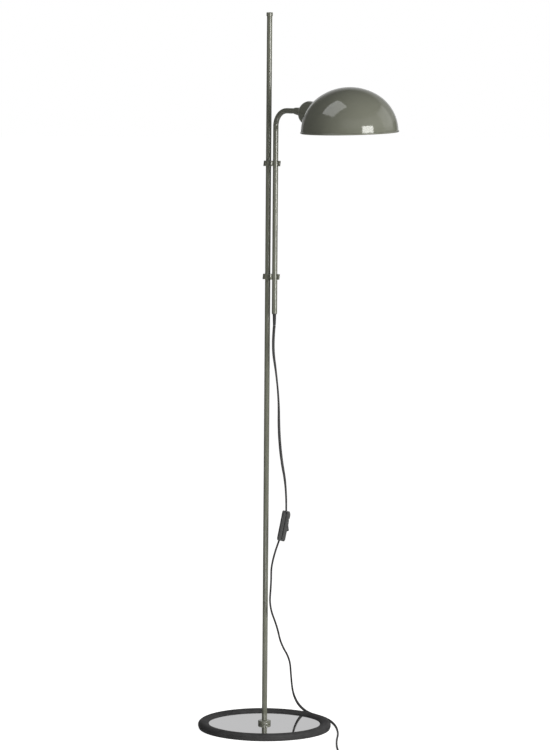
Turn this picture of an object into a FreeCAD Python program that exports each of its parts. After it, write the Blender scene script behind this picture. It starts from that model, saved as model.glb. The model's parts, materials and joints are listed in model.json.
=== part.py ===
import FreeCAD, Part
import math
import os

# Adjustable arm floor lamp. Millimetres and degrees. The origin is on the floor at the pole's axis,
# +Z is up, and the arm reaches along +X.

Vector = FreeCAD.Vector
UP = Vector(0, 0, 1)
OUT = Vector(1, 0, 0)
ACROSS = Vector(0, 1, 0)

# Overall
TOTAL_HEIGHT = 1350.0
RUN_GAP = 0.05            # radial clearance of parts that turn or slide on each other

# Pole, its cap and its foot
TUBE_R = 5.0
TUBE_BORE_R = 4.0
CAP_R = 6.0
CAP_HEIGHT = 7.0
CAP_STEM = 12.0
COLLAR_R = 12.1
COLLAR_HEIGHT = 6.0
INSERT_LENGTH = 25.0

# Base: steel disc in a rubber ring, on a felt pad
RING_R = 126.0
RING_INNER_R = 105.5
RING_CROWN_Z = 13.0
RING_LIP_Z = 8.7
RING_FOOT_R = 108.0
RING_FLANK_Z = 7.0
RING_FOOT_INSET = 1.5
# Points that the ring's three arcs pass through
RING_SIDE_MIDDLE = (125.7, 0, 3.4)
RING_SHOULDER_MIDDLE = (123.3, 0, 11.4)
RING_SLOPE_MIDDLE = (109.6, 0, 11.6)
DISC_R = 118.0
DISC_BOTTOM_Z = 1.7
DISC_TOP_Z = 8.2
PAD_R = 30.0
BOLT_R = 3.0
BOLT_HEAD_R = 5.0
BOLT_HEAD_HEIGHT = 2.8
BOLT_LENGTH = 23.0
BOLT_KEY_FLATS = 4.0
BOLT_KEY_DEPTH = 1.8
WASHER_R = 6.2
WASHER_THICKNESS = 1.0
RECESS_R = 6.8
RECESS_TOP_Z = 5.7

# Clips that carry the arm beside the pole
ARM_X = 18.5
CLIP_HEIGHT = 10.0
CLIP_LEVELS = {"upper": 1070.0, "lower": 858.5}
CLIP_SMALL_R = 8.9
CLIP_LARGE_R = 9.8
LINER_R = 5.7
JAW_HALF_ANGLE = 55.0
ARM_JAW_ANGLE = -50.0

# Arm tube: a long upright and a short level part
ARM_BOTTOM_Z = 790.0
ARM_TOP_Z = 1168.5
BEND_R = 28.5
ARM_END_X = 69.0
CABLE_R = 2.0
BUSH_LENGTH = 22.0
BUSH_TIP_R = 2.7
BUSH_R = 3.3
BUSH_FLANGE_R = 4.5
BUSH_FLANGE = 1.5
BUSH_STEM = 12.0

# Swivel between arm and head; the head's axis dips below the level
SWIVEL_X = 73.5
SWIVEL_Z = 1168.2
HEAD_DIP = 6.0
HEAD_REST_TURN = 2.3
SWIVEL_COLLAR_R = 6.3
NIPPLE_R = 4.0
NIPPLE_BORE_R = 2.6
NIPPLE_BACK = -3.5
NIPPLE_FRONT = 30.0
CUP_FLOOR = 18.0
SWIVEL_WASHER_R = 8.0
NUT_FLATS = 13.0
NUT_THICKNESS = 3.8
NUT_FRONT = CUP_FLOOR + RUN_GAP + WASHER_THICKNESS + NUT_THICKNESS

# Cup and lampholder, measured along the head's axis from the swivel
CUP_R = 22.5
CUP_WALL = 1.4
CUP_NECK_R = 6.8
CUP_NECK_FRONT_R = 8.6
CUP_DOME_START = 13.0
CUP_DOME_END = 32.0
CUP_SHOULDER_SHARE = 0.72
CUP_LENGTH = 80.0
HOLDER_R = 18.5
HOLDER_BACK = 34.0
HOLDER_FLOOR = 46.0
HOLDER_FRONT = 77.0
HOLDER_BORE_R = 14.6
SHELL_R = 14.5
SHELL_BORE_R = 13.8
SHADE_RING_R = 23.5
HOLDER_NECK_R = 6.2
TERMINAL_OFFSET = 9.5

# Bulb with an E27 screw cap
BULB_CONTACT_BACK = 49.6
BULB_CAP_BACK = 51.0
BULB_CAP_FRONT = 75.0
BULB_CAP_R = 13.2
GLOBE_R = 22.5
GLOBE_CENTRE = 103.0
GLOBE_NECK_R = 12.4
GLOBE_NECK_SHARE = 0.82
GLASS_WALL = 0.8

# Shade: a dome a little flatter than half a ball, with a rolled rim
SHADE_X = 207.7
SHADE_BASE_Z = 1133.0
SHADE_R = 88.8
SHADE_HEIGHT = 81.2
SHADE_SIDE_R = 78.0
SHADE_WALL = 1.0
RIM_CENTRE_R = 88.5
RIM_R = 1.7
SEAT_GAP = 0.15
HOLE_ROOM = 0.7
SHADE_HOLE_BACK = 40.0

# In-line switch, leaning with the cord that it hangs on
SWITCH_CENTRE = Vector(39.3, 8.2, 390.1)
SWITCH_LENGTH = 55.6
SWITCH_WIDTH = 22.0
SWITCH_THICKNESS = 15.2
SWITCH_LEAN = 10.8
SWITCH_FACING = 45.0
SWITCH_WALL = 1.8
SWITCH_CORNER_R = 2.4
SWITCH_POST_R = 3.0
SWITCH_POST_Z = 20.0
SWITCH_SCREW_R = 1.4
WINDOW_HALF = (6.0, 11.0)
ROCKER_HALF_WIDTH = 5.5
# Corners as (out of the housing, along the cord), from the inner lower one round to the inner upper one
ROCKER_OUTLINE = [(1.6, -7.0), (8.0, -8.6), (11.2, -6.2), (8.4, 2.2), (7.8, 9.3), (5.0, 9.5), (1.6, 7.6)]
ROCKER_PIVOT_X = 4.0
ROCKER_PIN_R = 1.0
CONTACT_SIZE = (0.8, 3.0, 28.0)
CONTACT_OFFSET = 4.5

# Mains cord and its coil
CORD_R = 2.5
ARC_SHARE = 0.45
COIL_CENTRE = (279.7, -133.3)
COIL_R = 28.0
COIL_BOTTOM_Z = 0.6
COIL_HALF_WIDTH = 7.5
COIL_HEIGHT = 10.0
COIL_BEVEL = 1.5
COIL_OUTER_TURN_R = 33.0
STUB_LENGTH = 28.0
TIE_GAP = 0.3
TIE_THICKNESS = 0.5
TIE_WIDTH = 7.0

# Mains plug, flat, two round pins
PLUG_AXIS_Z = 7.2
RELIEF_LENGTH = 22.0
PLUG_LENGTH = 36.0
PLUG_WIDTH = 35.0
PLUG_THICKNESS = 13.7
PLUG_NECK_WIDTH = 15.0
PLUG_NECK_THICKNESS = 11.0
PIN_R = 2.0
PIN_LENGTH = 19.0
PIN_SPACING = 18.6

# The cord's route from the arm's lower end to the switch, and from the switch to the coil
UPPER_ROUTE = [
    (18.5, 0.0, 767.6),
    (16.0, -2.5, 728.0),
    (22.0, 2.5, 678.0),
    (27.5, 4.5, 626.0),
    (29.5, 3.0, 572.0),
    (34.0, 5.0, 518.0),
    (42.6, 11.6, 462.0),
    (42.5, 11.4, 418.3),
]
LOWER_ROUTE = [
    (33.4, 2.3, 362.7),
    (23.0, -8.0, 322.0),
    (22.5, -7.0, 280.0),
    (16.0, -5.5, 236.0),
    (18.5, 14.0, 194.0),
    (5.5, 36.5, 158.0),
    (-4.5, 72.0, 122.0),
    (-22.5, 93.5, 84.0),
    (-32.0, 108.0, 48.0),
    (-33.0, 124.0, 22.0),
    (-19.0, 137.0, 6.0),
    (8.0, 143.5, 2.5),
    (38.0, 134.0, 2.5),
    (74.5, 113.0, 2.5),
    (110.5, 84.5, 2.5),
    (146.5, 50.0, 2.5),
    (180.5, 10.5, 2.5),
    (216.5, -27.0, 2.5),
    (253.5, -60.5, 2.8),
    (283.2, -90.2, 3.1),
]


# ---- Shape helpers ----

def cylinder(radius, bottom, top, x=0.0, y=0.0):
    return Part.makeCylinder(radius, top - bottom, Vector(x, y, bottom), UP)


def cone(bottom_r, top_r, bottom, top, x=0.0):
    return Part.makeCone(bottom_r, top_r, top - bottom, Vector(x, 0, bottom), UP)


def sleeve(outer_r, inner_r, bottom, top, x=0.0):
    return cylinder(outer_r, bottom, top, x).cut(cylinder(inner_r, bottom - 1, top + 1, x))


def lines(points):
    corners = [Vector(*point) for point in points]
    return [Part.LineSegment(a, b).toShape() for a, b in zip(corners, corners[1:])]


def arc(start, middle, end):
    return Part.Arc(Vector(*start), Vector(*middle), Vector(*end)).toShape()


def turned(edges, x=0.0):
    """A solid of revolution about the vertical axis at x, from edges in the XZ plane."""
    face = Part.Face(Part.Wire(edges))
    return face.revolve(Vector(x, 0, 0), UP, 360)


def swept(edges, radius):
    """A round bar along a smooth path."""
    path = Part.Wire(edges)
    first = path.Edges[0]
    start = first.valueAt(first.FirstParameter)
    heading = first.tangentAt(first.FirstParameter)
    profile = Part.Wire(Part.makeCircle(radius, start, heading))
    return path.makePipeShell([profile], True, False)


def hexagon(flats, bottom, top):
    corner_r = flats / math.sqrt(3)
    corners = []
    for step in range(7):
        angle = math.radians(60 * step)
        corners.append(Vector(corner_r * math.cos(angle), corner_r * math.sin(angle), bottom))
    return Part.Face(Part.makePolygon(corners)).extrude(Vector(0, 0, top - bottom))


def box(low, high):
    low, high = Vector(*low), Vector(*high)
    return Part.makeBox(high.x - low.x, high.y - low.y, high.z - low.z, low)


def rounded_box(size, radius):
    """A box about the origin with all its edges rounded."""
    block = box([-side / 2 for side in size], [side / 2 for side in size])
    return block.makeFillet(radius, block.Edges)


def turn(shape, degrees, centre=(0, 0, 0), axis=(0, 0, 1)):
    moved = shape.copy()
    moved.rotate(Vector(*centre), Vector(*axis), degrees)
    return moved


# ---- Base ----

def base_ring():
    """The ring's section: a groove that holds the disc, and a low crowned outside."""
    crown = ((RING_R + RING_INNER_R) / 2, 0, RING_CROWN_Z)
    lip = (RING_INNER_R, 0, RING_LIP_Z)
    flank = (RING_R, 0, RING_FLANK_Z)
    foot = (RING_R - RING_FOOT_INSET, 0, 0)
    edges = lines([
        lip,
        (RING_INNER_R, 0, DISC_TOP_Z),
        (DISC_R, 0, DISC_TOP_Z),
        (DISC_R, 0, DISC_BOTTOM_Z),
        (RING_FOOT_R, 0, DISC_BOTTOM_Z),
        (RING_FOOT_R, 0, 0),
        foot,
    ])
    edges.append(arc(foot, RING_SIDE_MIDDLE, flank))
    edges.append(arc(flank, RING_SHOULDER_MIDDLE, crown))
    edges.append(arc(crown, RING_SLOPE_MIDDLE, lip))
    return turned(edges)


def base_disc():
    disc = cylinder(DISC_R, DISC_BOTTOM_Z, DISC_TOP_Z)
    disc = disc.cut(cylinder(RECESS_R, DISC_BOTTOM_Z - 1, RECESS_TOP_Z))
    return disc.cut(cylinder(BOLT_R, 0, DISC_TOP_Z + 1))


def base_pad():
    return cylinder(PAD_R, 0, DISC_BOTTOM_Z)


def base_washer():
    return sleeve(WASHER_R, BOLT_R, RECESS_TOP_Z - WASHER_THICKNESS, RECESS_TOP_Z)


def base_bolt():
    shank_bottom = RECESS_TOP_Z - WASHER_THICKNESS
    head_bottom = shank_bottom - BOLT_HEAD_HEIGHT
    head = cylinder(BOLT_HEAD_R, head_bottom, shank_bottom)
    key_socket = hexagon(BOLT_KEY_FLATS, head_bottom - 1, head_bottom + BOLT_KEY_DEPTH)
    return head.cut(key_socket).fuse(cylinder(BOLT_R, shank_bottom, shank_bottom + BOLT_LENGTH))


def pole_foot_insert():
    return sleeve(TUBE_BORE_R, BOLT_R, DISC_TOP_Z, DISC_TOP_Z + INSERT_LENGTH)


def pole_collar():
    top = DISC_TOP_Z + COLLAR_HEIGHT
    edge = 0.7
    return turned(lines([
        (TUBE_R, 0, DISC_TOP_Z),
        (COLLAR_R, 0, DISC_TOP_Z),
        (COLLAR_R, 0, top - edge),
        (COLLAR_R - edge, 0, top),
        (TUBE_R, 0, top),
        (TUBE_R, 0, DISC_TOP_Z),
    ]))


# ---- Pole ----

def pole():
    return sleeve(TUBE_R, TUBE_BORE_R, DISC_TOP_Z, TOTAL_HEIGHT - CAP_HEIGHT)


def pole_cap():
    shoulder = TOTAL_HEIGHT - CAP_HEIGHT
    edge = 0.8
    return turned(lines([
        (0, 0, shoulder - CAP_STEM),
        (TUBE_BORE_R, 0, shoulder - CAP_STEM),
        (TUBE_BORE_R, 0, shoulder),
        (CAP_R - edge / 2, 0, shoulder),
        (CAP_R, 0, shoulder + edge / 2),
        (CAP_R, 0, TOTAL_HEIGHT - edge),
        (CAP_R - edge, 0, TOTAL_HEIGHT),
        (0, 0, TOTAL_HEIGHT),
        (0, 0, shoulder - CAP_STEM),
    ]))


# ---- Clips ----

def jaw_wedge(x, angle, level):
    """The open sector of a jaw, as a prism to cut away."""
    reach = 3 * CLIP_LARGE_R
    corners = [Vector(x, 0, level - CLIP_HEIGHT)]
    for side in (-1, 1):
        ray = math.radians(angle + side * JAW_HALF_ANGLE)
        corners.append(Vector(x + reach * math.cos(ray), reach * math.sin(ray), level - CLIP_HEIGHT))
    corners.append(corners[0])
    return Part.Face(Part.makePolygon(corners)).extrude(Vector(0, 0, 2 * CLIP_HEIGHT))


def clip(level):
    """Two tapered lobes in one piece: one jaw opens away from the other's mouth."""
    low, high = level - CLIP_HEIGHT / 2, level + CLIP_HEIGHT / 2
    bore_r = LINER_R + RUN_GAP
    pole_lobe = cone(CLIP_LARGE_R, CLIP_SMALL_R, low, high)
    pole_lobe = pole_lobe.cut(jaw_wedge(0, ARM_JAW_ANGLE + 180, level))
    arm_lobe = cone(CLIP_SMALL_R, CLIP_LARGE_R, low, high, ARM_X)
    arm_lobe = arm_lobe.cut(jaw_wedge(ARM_X, ARM_JAW_ANGLE, level))
    body = pole_lobe.fuse(arm_lobe)
    for x in (0, ARM_X):
        body = body.cut(cylinder(bore_r, low - 1, high + 1, x))
    return body.removeSplitter()


def pole_liner(level):
    return sleeve(LINER_R, TUBE_R + RUN_GAP, level - CLIP_HEIGHT / 2, level + CLIP_HEIGHT / 2)


def arm_liner(level):
    low, high = level - CLIP_HEIGHT / 2, level + CLIP_HEIGHT / 2
    ring = sleeve(LINER_R + RUN_GAP, TUBE_R + RUN_GAP, low, high, ARM_X)
    return ring.cut(jaw_wedge(ARM_X, ARM_JAW_ANGLE, level))


# ---- Arm ----

def arm_path(bottom, end_x):
    """The arm's centre line, upright and then level."""
    centre_x, centre_z = ARM_X + BEND_R, ARM_TOP_Z - BEND_R
    half = BEND_R * math.sqrt(0.5)
    return [
        *lines([(ARM_X, 0, bottom), (ARM_X, 0, centre_z)]),
        arc((ARM_X, 0, centre_z), (centre_x - half, 0, centre_z + half), (centre_x, 0, ARM_TOP_Z)),
        *lines([(centre_x, 0, ARM_TOP_Z), (end_x, 0, ARM_TOP_Z)]),
    ]


def arm_tube():
    outside = swept(arm_path(ARM_BOTTOM_Z, ARM_END_X), TUBE_R)
    return outside.cut(swept(arm_path(ARM_BOTTOM_Z - 1, ARM_END_X + 1), TUBE_BORE_R))


def inner_cable():
    along = swept(arm_path(ARM_BOTTOM_Z - BUSH_LENGTH, SWIVEL_X), CABLE_R)
    tail = on_head_axis(cylinder(CABLE_R, 0, HOLDER_BACK - 1))
    return along.fuse(tail)


def cable_bush():
    flange_z = ARM_BOTTOM_Z - BUSH_FLANGE
    tip_z = ARM_BOTTOM_Z - BUSH_LENGTH
    bore_r = CABLE_R + RUN_GAP
    edges = lines([
        (ARM_X + bore_r, 0, tip_z),
        (ARM_X + BUSH_TIP_R, 0, tip_z),
        (ARM_X + BUSH_R, 0, flange_z),
        (ARM_X + BUSH_FLANGE_R, 0, flange_z),
        (ARM_X + BUSH_FLANGE_R, 0, ARM_BOTTOM_Z),
        (ARM_X + TUBE_BORE_R, 0, ARM_BOTTOM_Z),
        (ARM_X + TUBE_BORE_R, 0, ARM_BOTTOM_Z + BUSH_STEM),
        (ARM_X + bore_r, 0, ARM_BOTTOM_Z + BUSH_STEM),
        (ARM_X + bore_r, 0, tip_z),
    ])
    return turned(edges, ARM_X)


# ---- Swivel ----

def on_head_axis(shape):
    """Stands a shape that was made along +Z from 0 on the swivel, along the head's axis."""
    moved = turn(shape, 90 + HEAD_DIP, axis=(0, 1, 0))
    moved.translate(Vector(SWIVEL_X, 0, SWIVEL_Z))
    return moved


def swivel_collar():
    """An elbow: its stem sits in the level tube, its front face is square to the dipping axis."""
    stem = Part.makeCylinder(TUBE_BORE_R, 13, Vector(ARM_END_X - 12, 0, ARM_TOP_Z), OUT)
    flange = Part.makeCylinder(SWIVEL_COLLAR_R, 8, Vector(ARM_END_X, 0, ARM_TOP_Z), OUT)
    body = stem.fuse(flange).cut(on_head_axis(cylinder(20, 0, 20)))
    body = body.cut(on_head_axis(cylinder(NIPPLE_R, NIPPLE_BACK, 5)))
    bore = Part.makeCylinder(NIPPLE_BORE_R, 30, Vector(ARM_END_X - 20, 0, ARM_TOP_Z), OUT)
    return body.cut(bore)


def swivel_nipple():
    return on_head_axis(sleeve(NIPPLE_R, NIPPLE_BORE_R, NIPPLE_BACK, NIPPLE_FRONT))


def swivel_washer():
    back = CUP_FLOOR + RUN_GAP
    return on_head_axis(sleeve(SWIVEL_WASHER_R, NIPPLE_R, back, back + WASHER_THICKNESS))


def nipple_nut():
    back = NUT_FRONT - NUT_THICKNESS
    nut = hexagon(NUT_FLATS, back, NUT_FRONT)
    return on_head_axis(nut.cut(cylinder(NIPPLE_R, back - 1, NUT_FRONT + 1)))


# ---- Shade ----

def on_circle(centre, radius, angle):
    return Vector(centre[0] + radius * math.cos(angle), 0, centre[1] + radius * math.sin(angle))


def circle_arc(centre, radius, start, end):
    angles = (start, (start + end) / 2, end)
    return arc(*[on_circle(centre, radius, angle) for angle in angles])


def dome_arcs(offset, rise=0.0):
    """The shade's section, grown by offset: a side arc from rise above the base, then a flatter top arc."""
    side_x = SHADE_R - SHADE_SIDE_R
    lift = SHADE_HEIGHT - SHADE_SIDE_R
    drop = (side_x ** 2 - lift ** 2) / (2 * lift)
    side_centre = (SHADE_X + side_x, SHADE_BASE_Z)
    top_centre = (SHADE_X, SHADE_BASE_Z - drop)
    side_r = SHADE_SIDE_R + offset
    top_r = SHADE_HEIGHT + drop + offset
    meet = math.atan2(drop, side_x)
    side = circle_arc(side_centre, side_r, math.asin(rise / side_r), meet)
    top = circle_arc(top_centre, top_r, meet, math.pi / 2)
    return [side, top]


def dome(offset):
    """A solid dome over the shade's base, its face offset from the shade's outer face."""
    top = (SHADE_X, 0, SHADE_BASE_Z + SHADE_HEIGHT + offset)
    closing = lines([top, (SHADE_X, 0, SHADE_BASE_Z), (SHADE_X + SHADE_R + offset, 0, SHADE_BASE_Z)])
    return turned([*dome_arcs(offset), *closing], SHADE_X)


def shade():
    inner_r = SHADE_R - SHADE_WALL
    outer_side, outer_top = dome_arcs(0, math.sqrt(RIM_R ** 2 - (SHADE_R - RIM_CENTRE_R) ** 2))
    inner_side, inner_top = dome_arcs(-SHADE_WALL, math.sqrt(RIM_R ** 2 - (inner_r - RIM_CENTRE_R) ** 2))
    outer_foot = outer_side.valueAt(outer_side.FirstParameter)
    inner_foot = inner_side.valueAt(inner_side.FirstParameter)
    crown_z = SHADE_BASE_Z + SHADE_HEIGHT
    rim_bottom = (SHADE_X + RIM_CENTRE_R, 0, SHADE_BASE_Z - RIM_R)
    rim_outside = (SHADE_X + RIM_CENTRE_R + RIM_R, 0, SHADE_BASE_Z)
    rim_inside = (SHADE_X + RIM_CENTRE_R - RIM_R, 0, SHADE_BASE_Z)
    body = turned([
        outer_side,
        outer_top,
        *lines([(SHADE_X, 0, crown_z), (SHADE_X, 0, crown_z - SHADE_WALL)]),
        inner_top,
        inner_side,
        arc(inner_foot, rim_inside, rim_bottom),
        arc(rim_bottom, rim_outside, outer_foot),
    ], SHADE_X)
    mouth = on_head_axis(cylinder(HOLDER_R + HOLE_ROOM, SHADE_HOLE_BACK, HOLDER_FRONT))
    return body.cut(mouth)


def shade_ring():
    """The threaded ring inside the shade; its back follows the shade's inner face."""
    ring = on_head_axis(sleeve(SHADE_RING_R, HOLDER_R + RUN_GAP, SHADE_HOLE_BACK, HOLDER_FRONT))
    return ring.common(dome(-SHADE_WALL - SEAT_GAP))


# ---- Head ----

def cup_outline(radius, start, neck_r, back):
    """Half the cup's section: a neck, a rounded shoulder and a straight side."""
    depth = CUP_DOME_END - start
    middle_r = CUP_SHOULDER_SHARE * radius
    middle_z = CUP_DOME_END - depth * math.sqrt(1 - CUP_SHOULDER_SHARE ** 2)
    meet_z = CUP_DOME_END - depth * math.sqrt(1 - (neck_r / radius) ** 2)
    return [
        *lines([(0, 0, CUP_LENGTH), (0, 0, back), (neck_r, 0, back), (neck_r, 0, meet_z)]),
        arc((neck_r, 0, meet_z), (middle_r, 0, middle_z), (radius, 0, CUP_DOME_END)),
        *lines([(radius, 0, CUP_DOME_END), (radius, 0, CUP_LENGTH), (0, 0, CUP_LENGTH)]),
    ]


def socket_cup():
    back = 2 * RUN_GAP
    outside = turned(cup_outline(CUP_R, CUP_DOME_START, CUP_NECK_FRONT_R, CUP_FLOOR - 4))
    neck = cone(CUP_NECK_R, CUP_NECK_FRONT_R, back, CUP_FLOOR - 3.9)
    inside_r = CUP_R - CUP_WALL
    inside = turned(cup_outline(inside_r, CUP_FLOOR - 1, 0.45 * inside_r, CUP_FLOOR))
    body = outside.fuse(neck).cut(inside).cut(cylinder(NIPPLE_R + RUN_GAP, -1, CUP_FLOOR + 1))
    return on_head_axis(body).cut(dome(SEAT_GAP))


def lampholder_body():
    """The insulating body; its neck turns on the nipple."""
    body = cylinder(HOLDER_R, HOLDER_BACK, HOLDER_FRONT)
    body = body.fuse(sleeve(HOLDER_NECK_R, NIPPLE_R + RUN_GAP, NUT_FRONT + 0.3, HOLDER_BACK))
    body = body.cut(cylinder(HOLDER_BORE_R, HOLDER_FLOOR, HOLDER_FRONT + 1))
    for y in (-TERMINAL_OFFSET, TERMINAL_OFFSET):
        body = body.cut(cylinder(2.0, HOLDER_BACK - 1, HOLDER_BACK + 5, y=y))
    return on_head_axis(body)


def lampholder_shell():
    return on_head_axis(sleeve(SHELL_R, SHELL_BORE_R, HOLDER_FLOOR + 2, HOLDER_FRONT - 2))


def lampholder_contact():
    return on_head_axis(cylinder(3.0, HOLDER_FLOOR, BULB_CONTACT_BACK))


def terminal_screws():
    screws = []
    for y in (-TERMINAL_OFFSET, TERMINAL_OFFSET):
        shank = cylinder(1.9, HOLDER_BACK, HOLDER_BACK + 4.5, y=y)
        screws.append(on_head_axis(shank.fuse(cylinder(3.0, HOLDER_BACK - 2, HOLDER_BACK, y=y))))
    return Part.makeCompound(screws)


def bulb_contact():
    return on_head_axis(cone(2.5, 4.5, BULB_CONTACT_BACK, BULB_CAP_BACK))


def bulb_cap():
    tapered = cone(6.0, BULB_CAP_R, BULB_CAP_BACK, BULB_CAP_BACK + 4)
    return on_head_axis(tapered.fuse(cylinder(BULB_CAP_R, BULB_CAP_BACK + 4, BULB_CAP_FRONT)))


def globe(radius, neck_r, back):
    """A ball with a neck that widens into it."""
    meet_z = GLOBE_CENTRE - GLOBE_NECK_SHARE * radius
    meet_r = radius * math.sqrt(1 - GLOBE_NECK_SHARE ** 2)
    return turned([
        *lines([(0, 0, GLOBE_CENTRE + radius), (0, 0, back), (neck_r, 0, back), (meet_r, 0, meet_z)]),
        arc((meet_r, 0, meet_z), (radius, 0, GLOBE_CENTRE), (0, 0, GLOBE_CENTRE + radius)),
    ])


def bulb_glass():
    outside = globe(GLOBE_R, GLOBE_NECK_R, BULB_CAP_FRONT)
    inside = globe(GLOBE_R - GLASS_WALL, GLOBE_NECK_R - GLASS_WALL, BULB_CAP_FRONT)
    return on_head_axis(outside.cut(inside))


def at_rest(shape):
    """Turns a head piece about the swivel to the way the head is left standing."""
    dip = math.radians(HEAD_DIP)
    axis = (math.cos(dip), 0, -math.sin(dip))
    return turn(shape, HEAD_REST_TURN, (SWIVEL_X, 0, SWIVEL_Z), axis)


# ---- In-line switch ----

def on_switch(shape):
    """Places a shape made about the switch's centre: +X out of the rocker, +Z along the cord."""
    moved = turn(shape, SWITCH_LEAN, axis=(0, 1, 0))
    moved = turn(moved, SWITCH_FACING)
    moved.translate(SWITCH_CENTRE)
    return moved


def switch_half(side):
    """One shell of the housing: side is 1 for the rocker's half and -1 for the back."""
    size = (SWITCH_THICKNESS, SWITCH_WIDTH, SWITCH_LENGTH)
    outside = rounded_box(size, SWITCH_CORNER_R)
    hollow = rounded_box([length - 2 * SWITCH_WALL for length in size], SWITCH_CORNER_R / 2)
    reach = SWITCH_LENGTH
    half = box((min(0, side * reach), -reach, -reach), (max(0, side * reach), reach, reach))
    body = outside.cut(hollow).common(half)
    post_length = SWITCH_THICKNESS - 2
    for end in (-SWITCH_POST_Z, SWITCH_POST_Z):
        post = Part.makeCylinder(SWITCH_POST_R, post_length, Vector(-post_length / 2, 0, end), OUT)
        hole = Part.makeCylinder(SWITCH_SCREW_R + 0.1, 2 * reach, Vector(-reach, 0, end), OUT)
        body = body.fuse(post.common(half)).cut(hole)
    return body


def switch_front_shell():
    half_width, half_length = WINDOW_HALF
    window = box((0, -half_width, -half_length), (20, half_width, half_length))
    return on_switch(switch_half(1).cut(window))


def switch_back_shell():
    return on_switch(switch_half(-1))


def switch_screws():
    screws = []
    for end in (-SWITCH_POST_Z, SWITCH_POST_Z):
        start = Vector(-SWITCH_THICKNESS / 2 + 0.2, 0, end)
        screws.append(on_switch(Part.makeCylinder(SWITCH_SCREW_R, SWITCH_THICKNESS - 2, start, OUT)))
    return Part.makeCompound(screws)


def switch_contacts():
    back = SWITCH_WALL - SWITCH_THICKNESS / 2
    half_width, half_length = CONTACT_SIZE[1] / 2, CONTACT_SIZE[2] / 2
    strips = []
    for y in (-CONTACT_OFFSET, CONTACT_OFFSET):
        low = (back, y - half_width, -half_length)
        high = (back + CONTACT_SIZE[0], y + half_width, half_length)
        strips.append(on_switch(box(low, high)))
    return Part.makeCompound(strips)


def rocker_pin():
    half_length = SWITCH_WIDTH / 2 - SWITCH_WALL
    start = Vector(ROCKER_PIVOT_X, -half_length, 0)
    return on_switch(Part.makeCylinder(ROCKER_PIN_R, 2 * half_length, start, ACROSS))


def switch_rocker():
    """A wedge whose lower end stands proud, as it does when the lamp is off."""
    low = -ROCKER_HALF_WIDTH
    corners = [(x, low, z) for x, z in ROCKER_OUTLINE]
    outline = lines(corners + corners[:1])
    body = Part.Face(Part.Wire(outline)).extrude(Vector(0, 2 * ROCKER_HALF_WIDTH, 0))
    bore_start = Vector(ROCKER_PIVOT_X, 2 * low, 0)
    bore = Part.makeCylinder(ROCKER_PIN_R + RUN_GAP, 4 * ROCKER_HALF_WIDTH, bore_start, ACROSS)
    return on_switch(body.cut(bore))


# ---- Cord ----

def rounded_route(points, name):
    """Straight runs joined by tangent arcs, each as large as its two runs allow."""
    corners = [Vector(*point) for point in points]
    edges, radii = [], []
    start = corners[0]
    for before, corner, after in zip(corners, corners[1:], corners[2:]):
        back, ahead = before.sub(corner), after.sub(corner)
        half_turn = (math.pi - back.getAngle(ahead)) / 2
        shorter = min(back.Length, ahead.Length)
        reach = ARC_SHARE * shorter
        radii.append(reach / math.tan(half_turn))
        back.normalize()
        ahead.normalize()
        inward = back.add(ahead).normalize()
        arc_start = corner.add(back.multiply(reach))
        arc_end = corner.add(ahead.multiply(reach))
        depth = radii[-1] / math.cos(half_turn) - radii[-1]
        edges.append(Part.LineSegment(start, arc_start).toShape())
        edges.append(Part.Arc(arc_start, corner.add(inward.multiply(depth)), arc_end).toShape())
        start = arc_end
    edges.append(Part.LineSegment(start, corners[-1]).toShape())
    length = sum(edge.Length for edge in edges)
    print(name, "length", round(length, 1), "radii", [round(radius, 1) for radius in radii])
    return edges


def cord(points, name):
    edges = rounded_route(points, name)
    tube = swept(edges, CORD_R)
    expected = math.pi * CORD_R ** 2 * sum(edge.Length for edge in edges)
    print(name, "volume over section times length", round(tube.Volume / expected, 4))
    return tube


def coil_frame(shape):
    """Places a shape made about the coil's centre: +X to the side where the cord comes in."""
    moved = turn(shape, 45)
    moved.translate(Vector(*COIL_CENTRE, 0))
    return moved


def cord_coil():
    """The outer shape of the wound turns, with a stub where the cord comes in and one where it leaves."""
    low, high = COIL_BOTTOM_Z, COIL_BOTTOM_Z + COIL_HEIGHT
    inner, outer = COIL_R - COIL_HALF_WIDTH, COIL_R + COIL_HALF_WIDTH
    bevel = COIL_BEVEL
    winding = turned(lines([
        (inner + bevel, 0, low),
        (outer - bevel, 0, low),
        (outer, 0, low + bevel),
        (outer, 0, high - bevel),
        (outer - bevel, 0, high),
        (inner + bevel, 0, high),
        (inner, 0, high - bevel),
        (inner, 0, low + bevel),
        (inner + bevel, 0, low),
    ]))
    entry_start = Vector(COIL_OUTER_TURN_R, 0, COIL_BOTTOM_Z + CORD_R)
    entry_stub = Part.makeCylinder(CORD_R, STUB_LENGTH, entry_start, ACROSS)
    exit_start = Vector(0, -COIL_OUTER_TURN_R, PLUG_AXIS_Z)
    exit_stub = Part.makeCylinder(CORD_R, STUB_LENGTH, exit_start, -OUT)
    return coil_frame(winding.fuse(entry_stub).fuse(exit_stub))


def cord_tie():
    inner = COIL_R - COIL_HALF_WIDTH - TIE_GAP
    outer = COIL_R + COIL_HALF_WIDTH + TIE_GAP
    high = COIL_BOTTOM_Z + COIL_HEIGHT + 0.05
    half = TIE_WIDTH / 2
    band = box((-outer - TIE_THICKNESS, -half, 0.05), (-inner + TIE_THICKNESS, half, high + TIE_THICKNESS))
    return coil_frame(band.cut(box((-outer, -20, COIL_BOTTOM_Z - 0.05), (-inner, 20, high))))


# ---- Plug ----

def on_plug(shape):
    """Places a shape made along +Z from the plug's cord end, its width along Y, where the coil ends."""
    moved = turn(shape, -90, axis=(0, 1, 0))
    moved.translate(Vector(-STUB_LENGTH, -COIL_OUTER_TURN_R, PLUG_AXIS_Z))
    return coil_frame(moved)


def plug_relief():
    return on_plug(cone(CORD_R + 0.3, 4.6, 0, RELIEF_LENGTH))


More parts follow.
